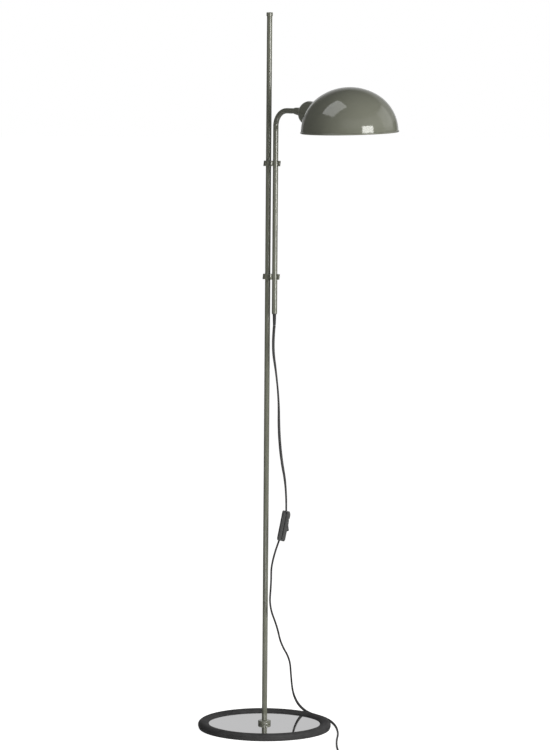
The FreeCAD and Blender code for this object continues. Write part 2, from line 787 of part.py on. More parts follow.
def plug_section(width, thickness, z):
    """A flat section with slanting corners."""
    half_width, half_thickness = width / 2, thickness / 2
    corner = 0.3 * thickness
    outline = [
        (half_thickness, half_width - corner),
        (half_thickness - corner, half_width),
        (corner - half_thickness, half_width),
        (-half_thickness, half_width - corner),
        (-half_thickness, corner - half_width),
        (corner - half_thickness, -half_width),
        (half_thickness - corner, -half_width),
        (half_thickness, corner - half_width),
    ]
    corners = [Vector(x, y, z) for x, y in outline]
    return Part.makePolygon([*corners, corners[0]])


def plug_body():
    back = RELIEF_LENGTH
    sections = [
        plug_section(PLUG_NECK_WIDTH, PLUG_NECK_THICKNESS, back),
        plug_section(PLUG_WIDTH, PLUG_THICKNESS, back + 0.7 * PLUG_LENGTH),
        plug_section(PLUG_WIDTH - 2, PLUG_THICKNESS, back + PLUG_LENGTH),
    ]
    return on_plug(Part.makeLoft(sections, True, True))


def plug_pins():
    pins = []
    face = RELIEF_LENGTH + PLUG_LENGTH
    for side in (-1, 1):
        pin = Part.makeCylinder(PIN_R, PIN_LENGTH - PIN_R, Vector(0, side * PIN_SPACING / 2, face), UP)
        tip = Part.makeSphere(PIN_R, Vector(0, side * PIN_SPACING / 2, face + PIN_LENGTH - PIN_R))
        pins.append(on_plug(pin.fuse(tip)))
    return Part.makeCompound(pins)


STAND = {
    "base_ring": base_ring,
    "base_disc": base_disc,
    "base_pad": base_pad,
    "base_washer": base_washer,
    "base_bolt": base_bolt,
    "pole_foot_insert": pole_foot_insert,
    "pole_collar": pole_collar,
    "pole": pole,
    "pole_cap": pole_cap,
}
ARM = {
    "arm_tube": arm_tube,
    "inner_cable": inner_cable,
    "cable_bush": cable_bush,
    "swivel_collar": swivel_collar,
    "swivel_nipple": swivel_nipple,
    "swivel_washer": swivel_washer,
    "nipple_nut": nipple_nut,
}
HEAD = {
    "socket_cup": socket_cup,
    "lampholder_body": lampholder_body,
    "lampholder_shell": lampholder_shell,
    "lampholder_contact": lampholder_contact,
    "terminal_screws": terminal_screws,
    "shade_ring": shade_ring,
    "shade": shade,
    "bulb_contact": bulb_contact,
    "bulb_cap": bulb_cap,
    "bulb_glass": bulb_glass,
}
SWITCH = {
    "switch_front_shell": switch_front_shell,
    "switch_back_shell": switch_back_shell,
    "switch_screws": switch_screws,
    "switch_contacts": switch_contacts,
    "rocker_pin": rocker_pin,
    "switch_rocker": switch_rocker,
}
CORD = {
    "cord_coil": cord_coil,
    "cord_tie": cord_tie,
    "plug_relief": plug_relief,
    "plug_body": plug_body,
    "plug_pins": plug_pins,
}


def all_pieces():
    pieces = {}
    for group in (STAND, ARM, SWITCH, CORD):
        for name, make in group.items():
            pieces[name] = make()
    for name, make in HEAD.items():
        pieces[name] = at_rest(make())
    for side, level in CLIP_LEVELS.items():
        pieces[side + "_clip"] = clip(level)
        pieces[side + "_pole_liner"] = pole_liner(level)
        pieces[side + "_arm_liner"] = arm_liner(level)
    pieces["cord_upper"] = cord(UPPER_ROUTE, "cord_upper")
    pieces["cord_lower"] = cord(LOWER_ROUTE, "cord_lower")
    return pieces


def main():
    os.makedirs("parts", exist_ok=True)
    for name, shape in all_pieces().items():
        if not shape.isValid():
            raise ValueError(name + " is not a valid solid")
        shape.exportStep("parts/" + name + ".step")


main()
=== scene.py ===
import bmesh
import bpy
import json
import math
from mathutils import Matrix, Vector


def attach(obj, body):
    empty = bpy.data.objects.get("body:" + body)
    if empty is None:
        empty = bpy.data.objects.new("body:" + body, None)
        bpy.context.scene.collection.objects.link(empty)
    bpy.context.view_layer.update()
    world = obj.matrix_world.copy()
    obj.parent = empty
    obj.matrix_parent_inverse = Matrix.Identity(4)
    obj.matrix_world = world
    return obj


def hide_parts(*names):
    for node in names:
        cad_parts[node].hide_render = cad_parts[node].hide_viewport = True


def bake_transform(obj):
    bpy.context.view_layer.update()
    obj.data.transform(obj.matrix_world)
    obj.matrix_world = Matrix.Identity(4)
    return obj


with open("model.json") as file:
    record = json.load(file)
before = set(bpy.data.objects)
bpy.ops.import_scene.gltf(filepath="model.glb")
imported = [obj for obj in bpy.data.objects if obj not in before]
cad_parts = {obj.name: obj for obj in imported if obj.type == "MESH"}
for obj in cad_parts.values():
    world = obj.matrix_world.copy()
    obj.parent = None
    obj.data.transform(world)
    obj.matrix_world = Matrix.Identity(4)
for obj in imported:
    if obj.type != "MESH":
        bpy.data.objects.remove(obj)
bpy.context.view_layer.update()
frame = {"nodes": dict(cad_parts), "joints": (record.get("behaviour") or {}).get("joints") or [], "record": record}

# Metres and degrees, in the lamp's own frame: the origin is on the floor at the pole's axis, +Z is up,
# and the arm reaches along +X.
NODES = frame["nodes"]
JOINTS = {joint["name"]: joint for joint in frame["joints"]}
SLOTS = {part["node"]: part["material_slot"] for part in frame["record"]["subparts"]}
BODIES = {
    node: body
    for body, nodes in frame["record"]["behaviour"]["bodies"].items()
    for node in nodes
}
MM = 0.001
ON_AXIS = 1e-7

# Camera: it stands at 45 degrees between +X and -Y and looks a little down
CAMERA_BEARING = 45.0
CAMERA_DISTANCE = 6.0
CAMERA_OFFSET = 0.01505
CAMERA_HEIGHT = 1.26864
CAMERA_PITCH = 5.670
CAMERA_ROLL = 0.4404
CAMERA_LENS = 154.05
SENSOR = 36.0
CAMERA_FAR_END = 50.0

# Stage
FLOOR_REACH = 60.0
FLOOR_GLOW = 0.89
ROOM_GLOW = 0.08
BACKDROP_GLOW = 0.75
WALL_GLOW = 0.45
# Each light's name, place and target to the camera's right, away from it and up, size, power, colour
LIGHTS = [
    ("key", (1.47, -1.63, 1.15), (0.1, -0.1, 1.13), (0.95, 1.1), 30.0, (1.0, 1.0, 0.97)),
    ("overhead", (-0.64, -0.47, 2.49), (0.147, -0.147, 1.133), (0.96, 1.12), 6.5, (0.98, 0.99, 1.0)),
    ("side", (2.3, 0.5, 2.0), (0.1, 0.0, 0.9), (1.6, 1.6), 4.0, (1.0, 1.0, 1.0)),
    ("low", (0.05, -1.0, 0.16), (0.0, 0.0, 0.2), (0.5, 0.2), 0.9, (1.0, 1.0, 0.98)),
]

# Cord: a flat two-core lead
CORD_WIDTH = 5.2 * MM
CORD_THICKNESS = 3.5 * MM
# The upper lead turns back and forth by this angle; the mains lead turns on edge below this height
UPPER_TWIST = 90.0
UPPER_HALF_TWISTS = 3
ON_EDGE_START = 0.13
ON_EDGE_DROP = 0.12
UPPER_ROUTE = [
    (0.0185, 0.0, 0.7676),
    (0.016, -0.0025, 0.728),
    (0.022, 0.0025, 0.678),
    (0.0275, 0.0045, 0.626),
    (0.0295, 0.003, 0.572),
    (0.034, 0.005, 0.518),
    (0.0426, 0.0116, 0.462),
    (0.0425, 0.0114, 0.4183),
]
LOWER_ROUTE = [
    (0.0334, 0.0023, 0.3627),
    (0.023, -0.008, 0.322),
    (0.0225, -0.007, 0.28),
    (0.016, -0.0055, 0.236),
    (0.0185, 0.014, 0.194),
    (0.0055, 0.0365, 0.158),
    (-0.0045, 0.072, 0.122),
    (-0.0225, 0.0935, 0.084),
    (-0.032, 0.108, 0.048),
    (-0.033, 0.124, 0.022),
    (-0.019, 0.137, 0.006),
    (0.008, 0.1435, 0.0025),
    (0.038, 0.134, 0.0025),
    (0.0745, 0.113, 0.0025),
    (0.1105, 0.0845, 0.0025),
    (0.1465, 0.05, 0.0025),
    (0.1805, 0.0105, 0.0025),
    (0.2165, -0.027, 0.0025),
    (0.2535, -0.0605, 0.0028),
    (0.2832, -0.0902, 0.0031),
]
COIL_CENTRE = (0.2797, -0.1333)
COIL_OUTER = 33.0 * MM
COIL_INNER = 23.0 * MM
COIL_TURNS = 5.25
COIL_STEPS = 16
COIL_LOW = 3.1 * MM
COIL_HIGH = 8.1 * MM
COIL_SPREAD = 1.15
COIL_CLIMB_TURNS = 0.6
COIL_TAIL_TURNS = 0.4
PLUG_AXIS_Z = 7.2 * MM
STUB_LENGTH = 28.0 * MM

# Head and shade, before the head's small turn at rest
HEAD_REST_TURN = 2.3
SHADE_CENTRE = (0.2077, 0.0, 1.133)
SHADE_R = 88.8 * MM
SHADE_HEIGHT = 81.2 * MM
SHADE_SIDE_R = 78.0 * MM
SHADE_WALL = 1.0 * MM
RIM_CENTRE_R = 88.5 * MM
RIM_R = 1.7 * MM
HOLDER_HOLE_R = 19.2 * MM
HOLDER_HOLE_START = 40.0 * MM
HOLDER_HOLE_END = 77.0 * MM
CUP_GAP = 0.15 * MM

# Switch: it leans with the cord and its rocker faces the camera's right
SWITCH_CENTRE = (0.0393, 0.0082, 0.3901)
SWITCH_LEAN = 10.8
SWITCH_FACING = 45.0

# Softened edges of CAD shapes
EASE_STEPS = 3
EASE_ANGLE = 30.0
WELD_REACH = 0.002 * MM
FLAT_ANGLE = 0.5
CLIP_EASE = 0.9 * MM

# Noise values between which a finish changes from one end of its range to the other
NOISE_LOW = 0.3
NOISE_HIGH = 0.7


# ---- Mesh helpers ----

def new_object(name, verts, faces):
    mesh = bpy.data.meshes.new(name)
    mesh.from_pydata(verts, [], faces)
    mesh.validate()
    piece = bpy.data.objects.new(name, mesh)
    bpy.context.scene.collection.objects.link(piece)
    return piece


def smooth(piece, angle=38.0):
    for polygon in piece.data.polygons:
        polygon.use_smooth = True
    piece.data.set_sharp_from_angle(angle=math.radians(angle))


def put_on(piece, *nodes):
    """The piece stands for these CAD nodes: it rides on their body, and the nodes are hidden."""
    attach(piece, BODIES[nodes[0]])
    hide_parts(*nodes)


def paint(piece, *materials):
    piece.data.materials.clear()
    for material in materials:
        piece.data.materials.append(material)


def ring(radius, height, steps, ripple=None):
    points = []
    for step in range(steps):
        angle = 2 * math.pi * step / steps
        out = radius + (ripple(angle, height) if ripple else 0.0)
        points.append((out * math.cos(angle), out * math.sin(angle), height))
    return points


def lathe(name, profile, place, steps=96, ripple=None):
    """Turns a closed (radius, height) profile about local Z. A profile may start and end on the axis."""
    verts, faces, rows = [], [], []
    for radius, height in profile:
        first = len(verts)
        if radius < ON_AXIS:
            verts.append((0.0, 0.0, height))
            rows.append([first] * steps)
        else:
            verts.extend(ring(radius, height, steps, ripple))
            rows.append(list(range(first, first + steps)))
    on_axis = profile[0][0] < ON_AXIS and profile[-1][0] < ON_AXIS
    pairs = list(zip(rows, rows[1:]))
    if not on_axis:
        pairs.append((rows[-1], rows[0]))
    for lower, upper in pairs:
        for step in range(steps):
            after = (step + 1) % steps
            corners = [lower[step], lower[after], upper[after], upper[step]]
            face = [corner for place_in, corner in enumerate(corners) if corner not in corners[:place_in]]
            if len(face) > 2:
                faces.append(face)
    piece = new_object(name, verts, faces)
    piece.data.transform(place)
    outward(piece)
    return piece


def outward(piece):
    """Turns all the faces of a closed mesh outward."""
    work = bmesh.new()
    work.from_mesh(piece.data)
    bmesh.ops.recalc_face_normals(work, faces=work.faces)
    work.to_mesh(piece.data)
    work.free()


def baked(piece):
    """Replaces the piece's mesh by what its modifiers make of it."""
    graph = bpy.context.evaluated_depsgraph_get()
    mesh = bpy.data.meshes.new_from_object(piece.evaluated_get(graph))
    piece.modifiers.clear()
    piece.data = mesh
    return piece


def combine(piece, tool, operation):
    """Cuts the tool out of the piece, or joins the two, and removes the tool."""
    boolean = piece.modifiers.new("combine", "BOOLEAN")
    boolean.operation = operation
    boolean.solver = "EXACT"
    boolean.object = tool
    bpy.context.view_layer.update()
    baked(piece)
    bpy.data.objects.remove(tool)
    return piece


def eased(node, width):
    """The CAD node again, with its sharp edges rounded."""
    work = bmesh.new()
    work.from_mesh(NODES[node].data)
    bmesh.ops.remove_doubles(work, verts=work.verts, dist=WELD_REACH)
    bmesh.ops.dissolve_limit(work, angle_limit=math.radians(FLAT_ANGLE), verts=work.verts, edges=work.edges)
    limit = math.radians(EASE_ANGLE)
    sharp = [edge for edge in work.edges if len(edge.link_faces) == 2 and edge.calc_face_angle() > limit]
    bmesh.ops.bevel(
        work, geom=sharp, offset=width, segments=EASE_STEPS, profile=0.5, affect="EDGES", clamp_overlap=True
    )
    mesh = bpy.data.meshes.new(node + "_detail")
    work.to_mesh(mesh)
    work.free()
    if mesh.attributes.get("custom_normal"):
        mesh.attributes.remove(mesh.attributes["custom_normal"])
    piece = bpy.data.objects.new(node + "_detail", mesh)
    bpy.context.scene.collection.objects.link(piece)
    smooth(piece)
    put_on(piece, node)
    return piece


def axis_frame(origin, axis, turn=0.0):
    """A frame whose Z lies along an axis in the XZ plane, turned about it."""
    z = Vector(axis).normalized()
    y = Vector((0, 1, 0))
    place = Matrix((y.cross(z), y, z)).transposed().to_4x4()
    place.translation = Vector(origin)
    return place @ Matrix.Rotation(math.radians(turn), 4, "Z")


def seen_from_camera(right, away, height):
    """A place given to the camera's right, away from it and up, from the foot of the pole."""
    half = math.sqrt(0.5)
    return (half * (right - away), half * (right + away), height)


# ---- Camera ----

def make_camera():
    bearing = math.radians(CAMERA_BEARING)
    right = Vector((math.cos(bearing), math.sin(bearing), 0))
    ahead = Vector((-math.sin(bearing), math.cos(bearing), 0))
    up = Vector((0, 0, 1))
    pitch, roll = math.radians(CAMERA_PITCH), math.radians(CAMERA_ROLL)
    look = ahead * math.cos(pitch) - up * math.sin(pitch)
    top = ahead * math.sin(pitch) + up * math.cos(pitch)
    rolled_right = right * math.cos(roll) + top * math.sin(roll)
    rolled_top = top * math.cos(roll) - right * math.sin(roll)
    data = bpy.data.cameras.new("camera")
    data.sensor_width = SENSOR
    data.lens = CAMERA_LENS
    data.clip_end = CAMERA_FAR_END
    camera = bpy.data.objects.new("camera", data)
    bpy.context.scene.collection.objects.link(camera)
    place = Matrix((rolled_right, rolled_top, -look)).transposed().to_4x4()
    place.translation = right * CAMERA_OFFSET - ahead * CAMERA_DISTANCE + up * CAMERA_HEIGHT
    camera.matrix_world = place
    bpy.context.scene.camera = camera


# ---- Cords ----

def coil_place(right, away, height):
    """A place given about the coil's centre, to the camera's right, away from it and up."""
    x, y, z = seen_from_camera(right, away, height)
    return (COIL_CENTRE[0] + x, COIL_CENTRE[1] + y, z)


def coil_route():
    """Turns wound inward on the floor, then outward on top of those, and the tail to the plug."""
    points = []
    steps = round(COIL_TURNS * COIL_STEPS)
    middle = COIL_TURNS / 2
    for step in range(steps + 1):
        turns = step / COIL_STEPS
        share = abs(turns - middle) / middle
        radius = COIL_INNER + (COIL_OUTER - COIL_INNER) * min(1.0, COIL_SPREAD * share)
        climb = min(max((turns - middle) / COIL_CLIMB_TURNS + 0.5, 0.0), 1.0)
        height = COIL_LOW + (COIL_HIGH - COIL_LOW) * climb * climb * (3 - 2 * climb)
        last = max(0.0, 1.0 - (COIL_TURNS - turns) / COIL_TAIL_TURNS)
        height += (PLUG_AXIS_Z - COIL_HIGH) * last
        angle = -2 * math.pi * turns
        points.append(coil_place(radius * math.cos(angle), radius * math.sin(angle), height))
    points.append(coil_place(-0.5 * STUB_LENGTH, -COIL_OUTER, PLUG_AXIS_Z))
    points.append(coil_place(-STUB_LENGTH, -COIL_OUTER, PLUG_AXIS_Z))
    return points


def curve_line(points):
    """Points along the smooth line that a route's spline makes."""
    data = bpy.data.curves.new("route", "CURVE")
    data.dimensions = "3D"
    data.resolution_u = 8
    spline = data.splines.new("NURBS")
    spline.points.add(len(points) - 1)
    for spot, point in zip(spline.points, points):
        spot.co = (*point, 1.0)
    spline.order_u = 3
    spline.use_endpoint_u = True
    holder = bpy.data.objects.new("route", data)
    bpy.context.scene.collection.objects.link(holder)
    bpy.context.view_layer.update()
    mesh = bpy.data.meshes.new_from_object(holder)
    line = [vertex.co.copy() for vertex in mesh.vertices]
    bpy.data.objects.remove(holder)
    return line


def oval_section(width, thickness, corner_steps=6):
    """A flat lead's section: straight faces and round edges, as (across, through) offsets."""
    half, radius = width / 2, thickness / 2
    points = []
    for side in (1, -1):
        for step in range(corner_steps + 1):
            angle = side * math.pi * (0.5 - step / corner_steps)
            across = side * (half - radius) + side * radius * math.cos(angle)
            points.append((across, radius * math.sin(angle)))
    return points


def lead(name, line, across):
    """A flat lead along a line. across(place, share) gives the direction of its wide side."""
    section = oval_section(CORD_WIDTH, CORD_THICKNESS)
    count, size = len(line), len(section)
    verts, faces = [], []
    for step, centre in enumerate(line):
        tangent = (line[min(step + 1, count - 1)] - line[max(step - 1, 0)]).normalized()
        wide = across(centre, step / (count - 1))
        wide = (wide - tangent * wide.dot(tangent)).normalized()
        through = tangent.cross(wide)
        for a, b in section:
            verts.append(centre + wide * a + through * b)
    for step in range(count - 1):
        for side in range(size):
            after = (side + 1) % size
            low, high = step * size, (step + 1) * size
            faces.append((low + side, low + after, high + after, high + side))
    faces.append(tuple(range(size))[::-1])
    faces.append(tuple(range((count - 1) * size, count * size)))
    piece = new_object(name, verts, faces)
    outward(piece)
    smooth(piece, 50.0)
    return piece


def upper_across(centre, share):
    """The lead comes down with its wide side to the camera and turns as it hangs."""
    turn = math.radians(UPPER_TWIST) * (0.5 - 0.5 * math.cos(UPPER_HALF_TWISTS * math.pi * share))
    bearing = math.radians(CAMERA_BEARING) + turn
    return Vector((math.cos(bearing), math.sin(bearing), 0))


def mains_across(centre, share):
    """The lead hangs with its thin side to the camera and lies on the floor on its edge."""
    bearing = math.radians(CAMERA_BEARING + 90.0)
    hanging = Vector((math.cos(bearing), math.sin(bearing), 0))
    down = min(max((ON_EDGE_START - centre.z) / ON_EDGE_DROP, 0.0), 1.0)
    return hanging.lerp(Vector((0, 0, 1)), down)


def make_cords(sheath):
    upper_line = curve_line(UPPER_ROUTE)
    upper = lead("upper_lead", upper_line, upper_across)
    paint(upper, sheath)
    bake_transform(upper)
    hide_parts("cord_upper")
    mains_line = curve_line(LOWER_ROUTE + coil_route())
    mains = lead("mains_lead", mains_line, mains_across)
    paint(mains, sheath)
    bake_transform(mains)
    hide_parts("cord_lower", "cord_coil")
    return (upper, upper_line), (mains, mains_line)


# ---- Materials ----

class Finish:
    """A material made of one Principled shader, with noise for its colour, gloss and surface."""

    def __init__(self, name, colour, roughness, metallic=0.0, specular=0.5, coat=0.0):
        self.material = bpy.data.materials.new(name)
        self.material.use_nodes = True
        self.nodes = self.material.node_tree.nodes
        self.links = self.material.node_tree.links
        self.shader = self.nodes["Principled BSDF"]
        self.colour = colour
        self.roughness = roughness
        self.set("Base Color", (*colour, 1.0))
        self.set("Roughness", roughness)
        self.set("Metallic", metallic)
        self.set("Specular IOR Level", specular)
        self.set("Coat Weight", coat)
        self.set("Coat Roughness", 0.05)
        self.place = self.nodes.new("ShaderNodeTexCoord").outputs["Object"]
        self.normal = None

    def set(self, socket, value):
        self.shader.inputs[socket].default_value = value
        return self

    def noise(self, scale, detail, stretch=(1.0, 1.0, 1.0)):
        mapping = self.nodes.new("ShaderNodeMapping")
        mapping.inputs["Scale"].default_value = stretch
        self.links.new(self.place, mapping.inputs["Vector"])
        texture = self.nodes.new("ShaderNodeTexNoise")
        texture.inputs["Scale"].default_value = scale
        texture.inputs["Detail"].default_value = detail
        self.links.new(mapping.outputs["Vector"], texture.inputs["Vector"])
        return texture.outputs["Fac"]

    def spread(self, value, low, high):
        steps = self.nodes.new("ShaderNodeMapRange")
        steps.inputs["From Min"].default_value = NOISE_LOW
        steps.inputs["From Max"].default_value = NOISE_HIGH
        steps.inputs["To Min"].default_value = low
        steps.inputs["To Max"].default_value = high
        self.links.new(value, steps.inputs["Value"])
        return steps.outputs["Result"]

    def mottle(self, scale, amount):
        """Colour that varies a little from place to place."""
        ramp = self.nodes.new("ShaderNodeValToRGB")
        ramp.color_ramp.elements[0].position = NOISE_LOW
        ramp.color_ramp.elements[1].position = NOISE_HIGH
        ramp.color_ramp.elements[0].color = (*[part * (1 - amount) for part in self.colour], 1.0)
        ramp.color_ramp.elements[1].color = (*[min(1.0, part * (1 + amount)) for part in self.colour], 1.0)
        self.links.new(self.noise(scale, 4.0), ramp.inputs["Fac"])
        self.links.new(ramp.outputs["Color"], self.shader.inputs["Base Color"])
        return self

    def wear(self, scale, amount):
        """Gloss that varies, as handling and dust leave it."""
        value = self.spread(self.noise(scale, 5.0), self.roughness - amount, self.roughness + amount)
        self.links.new(value, self.shader.inputs["Roughness"])
        return self

    def grain(self, scale, strength, depth, stretch=(1.0, 1.0, 1.0)):
        """A fine surface relief. Calls add up."""
        bump = self.nodes.new("ShaderNodeBump")
        bump.inputs["Strength"].default_value = strength
        bump.inputs["Distance"].default_value = depth
        self.links.new(self.noise(scale, 3.0, stretch), bump.inputs["Height"])
        if self.normal:
            self.links.new(self.normal, bump.inputs["Normal"])
        self.normal = bump.outputs["Normal"]
        self.links.new(self.normal, self.shader.inputs["Normal"])
        return self


def enamel():
    """Glossy olive grey stove enamel with a faint orange peel."""
    finish = Finish("olive_enamel", (0.225, 0.230, 0.184), 0.10, specular=0.62, coat=0.3)
    finish.mottle(14, 0.04).wear(60, 0.02).grain(260, 0.02, 0.01 * MM)
    return finish.material


def white_enamel():
    finish = Finish("white_enamel", (0.78, 0.77, 0.73), 0.32)
    finish.mottle(20, 0.03).wear(70, 0.05).grain(500, 0.12, 0.05 * MM)
    return finish.material


def mirror():
    finish = Finish("polished_disc", (0.80, 0.80, 0.81), 0.05, metallic=1.0)
    finish.wear(25, 0.025).grain(900, 0.02, 0.01 * MM, (1.0, 6.0, 1.0))
    return finish.material


def ring_rubber():
    finish = Finish("ring_rubber", (0.066, 0.065, 0.067), 0.74, specular=0.35)
    finish.mottle(60, 0.18).wear(40, 0.10).grain(1500, 0.35, 0.06 * MM)
    return finish.material


def sheath():
    finish = Finish("lead_sheath", (0.048, 0.047, 0.048), 0.5, specular=0.35)
    finish.mottle(90, 0.12).wear(120, 0.08).grain(1300, 0.12, 0.04 * MM)
    return finish.material


def switch_plastic():
    finish = Finish("switch_plastic", (0.078, 0.078, 0.079), 0.42, specular=0.45)
    finish.mottle(80, 0.08).wear(90, 0.06).grain(2600, 0.30, 0.05 * MM)
    return finish.material


def rocker_plastic():
    finish = Finish("rocker_plastic", (0.045, 0.045, 0.046), 0.3)
    finish.mottle(90, 0.08).wear(90, 0.05).grain(900, 0.05, 0.03 * MM)
    return finish.material


def felt():
    finish = Finish("felt", (0.06, 0.06, 0.06), 0.95, specular=0.2)
    finish.mottle(300, 0.3).grain(1800, 0.8, 0.3 * MM)
    return finish.material


def zinc():
    finish = Finish("zinc_plated_steel", (0.56, 0.56, 0.55), 0.3, metallic=1.0)
    finish.mottle(120, 0.1).wear(150, 0.1).grain(1400, 0.1, 0.03 * MM)
    return finish.material


def brass():
    finish = Finish("brass", (0.70, 0.50, 0.22), 0.26, metallic=1.0)
    finish.mottle(90, 0.1).wear(140, 0.08).grain(1200, 0.08, 0.03 * MM)
    return finish.material


def nickel():
    finish = Finish("nickel_plate", (0.68, 0.66, 0.62), 0.16, metallic=1.0)
    finish.wear(180, 0.05).grain(1600, 0.05, 0.02 * MM)
    return finish.material


def nylon():
    finish = Finish("nylon", (0.045, 0.045, 0.046), 0.5)
    finish.mottle(100, 0.1).wear(120, 0.08).grain(1500, 0.1, 0.03 * MM)
    return finish.material


def phenolic():
    finish = Finish("phenolic", (0.022, 0.021, 0.021), 0.28)
    finish.mottle(160, 0.2).wear(120, 0.06).grain(900, 0.06, 0.03 * MM)
    return finish.material


def aluminium():
    finish = Finish("aluminium", (0.74, 0.74, 0.73), 0.28, metallic=1.0)
    finish.mottle(90, 0.05).wear(160, 0.08).grain(1300, 0.08, 0.03 * MM)
    return finish.material


def opal_glass():
    finish = Finish("opal_glass", (0.90, 0.89, 0.85), 0.22, coat=0.5)
    finish.set("Subsurface Weight", 0.4)
    finish.set("Subsurface Radius", (0.02, 0.02, 0.018))
    finish.mottle(25, 0.02).wear(60, 0.04)
    return finish.material


MATERIALS = {
    "lamp_paint": enamel,
    "mirror_disc": mirror,
    "ring_rubber": ring_rubber,
    "felt": felt,
    "steel": zinc,
    "brass": brass,
    "nylon": nylon,
    "cord_sheath": sheath,
    "tie_plastic": nylon,
    "switch_plastic": switch_plastic,
    "plated_pins": nickel,
    "holder_plastic": phenolic,
    "cap_aluminium": aluminium,
    "bulb_glass": opal_glass,
}


# ---- Stage ----

def area_light(name, place, target, size, power, colour):
    data = bpy.data.lights.new(name, "AREA")
    data.shape = "RECTANGLE"
    data.size, data.size_y = size
    data.energy = power
    data.color = colour
    light = bpy.data.objects.new(name, data)
    bpy.context.scene.collection.objects.link(light)
    light.location = place
    light.rotation_mode = "QUATERNION"
    light.rotation_quaternion = (Vector(target) - Vector(place)).to_track_quat("-Z", "Y")
    light.visible_camera = False


def fade(tree, value, start, end, low, high):
    """low up to start, high from end on, smooth between."""
    node = tree.nodes.new("ShaderNodeMapRange")
    node.interpolation_type = "SMOOTHSTEP"
    settings = {"From Min": start, "From Max": end, "To Min": low, "To Max": high}
    for socket, number in settings.items():
        node.inputs[socket].default_value = number
    tree.links.new(value, node.inputs["Value"])
    return node.outputs["Result"]


def facing(tree, direction, towards):
    """How far a direction points the same way as another: 1 where they agree."""
    node = tree.nodes.new("ShaderNodeVectorMath")
    node.operation = "DOT_PRODUCT"
    node.inputs[1].default_value = towards
    tree.links.new(direction, node.inputs[0])
    return node.outputs["Value"]


def joined(tree, operation, first, second):
    node = tree.nodes.new("ShaderNodeMath")
    node.operation = operation
    tree.links.new(first, node.inputs[0])
    tree.links.new(second, node.inputs[1])
    return node.outputs["Value"]


def make_world():
    """White behind everything; what the lamp mirrors is a dim room with pale walls, darkest on the left."""
    world = bpy.data.worlds.new("studio")
    world.use_nodes = True
    bpy.context.scene.world = world
    tree = world.node_tree
    seen = tree.nodes["Background"]
    seen.inputs["Color"].default_value = (1, 1, 1, 1)
    direction = tree.nodes.new("ShaderNodeTexCoord").outputs["Generated"]
    backdrop = facing(tree, direction, seen_from_camera(0, 1, 0))
    backdrop = fade(tree, backdrop, 0.8, 0.95, ROOM_GLOW, BACKDROP_GLOW)
    height = facing(tree, direction, (0, 0, 1))
    above_the_floor = fade(tree, height, 0.12, 0.2, 0.0, WALL_GLOW)
    below_the_ceiling = fade(tree, height, 0.5, 0.7, 1.0, 0.0)
    wall = joined(tree, "MULTIPLY", above_the_floor, below_the_ceiling)
    left = facing(tree, direction, seen_from_camera(-1, 0, 0))
    wall = joined(tree, "MULTIPLY", wall, fade(tree, left, 0.1, 0.6, 1.0, 0.0))
    lit = tree.nodes.new("ShaderNodeBackground")
    tree.links.new(joined(tree, "MAXIMUM", backdrop, wall), lit.inputs["Strength"])
    choice = tree.nodes.new("ShaderNodeMixShader")
    tree.links.new(tree.nodes.new("ShaderNodeLightPath").outputs["Is Camera Ray"], choice.inputs["Fac"])
    tree.links.new(lit.outputs["Background"], choice.inputs[1])
    tree.links.new(seen.outputs["Background"], choice.inputs[2])
    tree.links.new(choice.outputs["Shader"], tree.nodes["World Output"].inputs["Surface"])


def make_floor():
    reach = FLOOR_REACH
    corners = [(-reach, -reach, 0), (reach, -reach, 0), (reach, reach, 0), (-reach, reach, 0)]
    floor = new_object("floor", corners, [(0, 1, 2, 3)])
    pale = Finish("floor_white", (0.90, 0.90, 0.90), 0.8, specular=0.2)
    pale.mottle(3, 0.005)
    pale.set("Emission Color", (1, 1, 1, 1))
    glow = pale.nodes.new("ShaderNodeMath")
    glow.operation = "MULTIPLY"
    glow.inputs[1].default_value = FLOOR_GLOW
    pale.links.new(pale.nodes.new("ShaderNodeLightPath").outputs["Is Camera Ray"], glow.inputs[0])
    pale.links.new(glow.outputs["Value"], pale.shader.inputs["Emission Strength"])
    paint(floor, pale.material)


def make_stage():
    make_world()
    make_floor()
    for name, place, target, size, power, colour in LIGHTS:
        area_light(name, seen_from_camera(*place), seen_from_camera(*target), size, power, colour)
    bpy.context.scene.view_settings.view_transform = "Standard"


# ---- Outlines ----

def arc_points(centre, radius, start, end, steps):
    points = []
    for step in range(steps + 1):
        angle = start + (end - start) * step / steps
        points.append((centre[0] + radius * math.cos(angle), centre[1] + radius * math.sin(angle)))
    return points


def arc_through(start, middle, end, steps=8):
    """Points on the circle through three points."""
    (ax, ay), (bx, by), (cx, cy) = start, middle, end
    area = 2 * (ax * (by - cy) + bx * (cy - ay) + cx * (ay - by))
    a2, b2, c2 = ax * ax + ay * ay, bx * bx + by * by, cx * cx + cy * cy
    centre = (
        (a2 * (by - cy) + b2 * (cy - ay) + c2 * (ay - by)) / area,
        (a2 * (cx - bx) + b2 * (ax - cx) + c2 * (bx - ax)) / area,
    )
    angles = [math.atan2(y - centre[1], x - centre[0]) for x, y in (start, middle, end)]
    whole = 2 * math.pi
    if (angles[1] - angles[0]) % whole < (angles[2] - angles[0]) % whole:
        sweep = (angles[2] - angles[0]) % whole
    else:
        sweep = -((angles[0] - angles[2]) % whole)
    radius = math.dist(start, centre)
    return arc_points(centre, radius, angles[0], angles[0] + sweep, steps)


def millimetres(points):
    return [(radius * MM, height * MM) for radius, height in points]


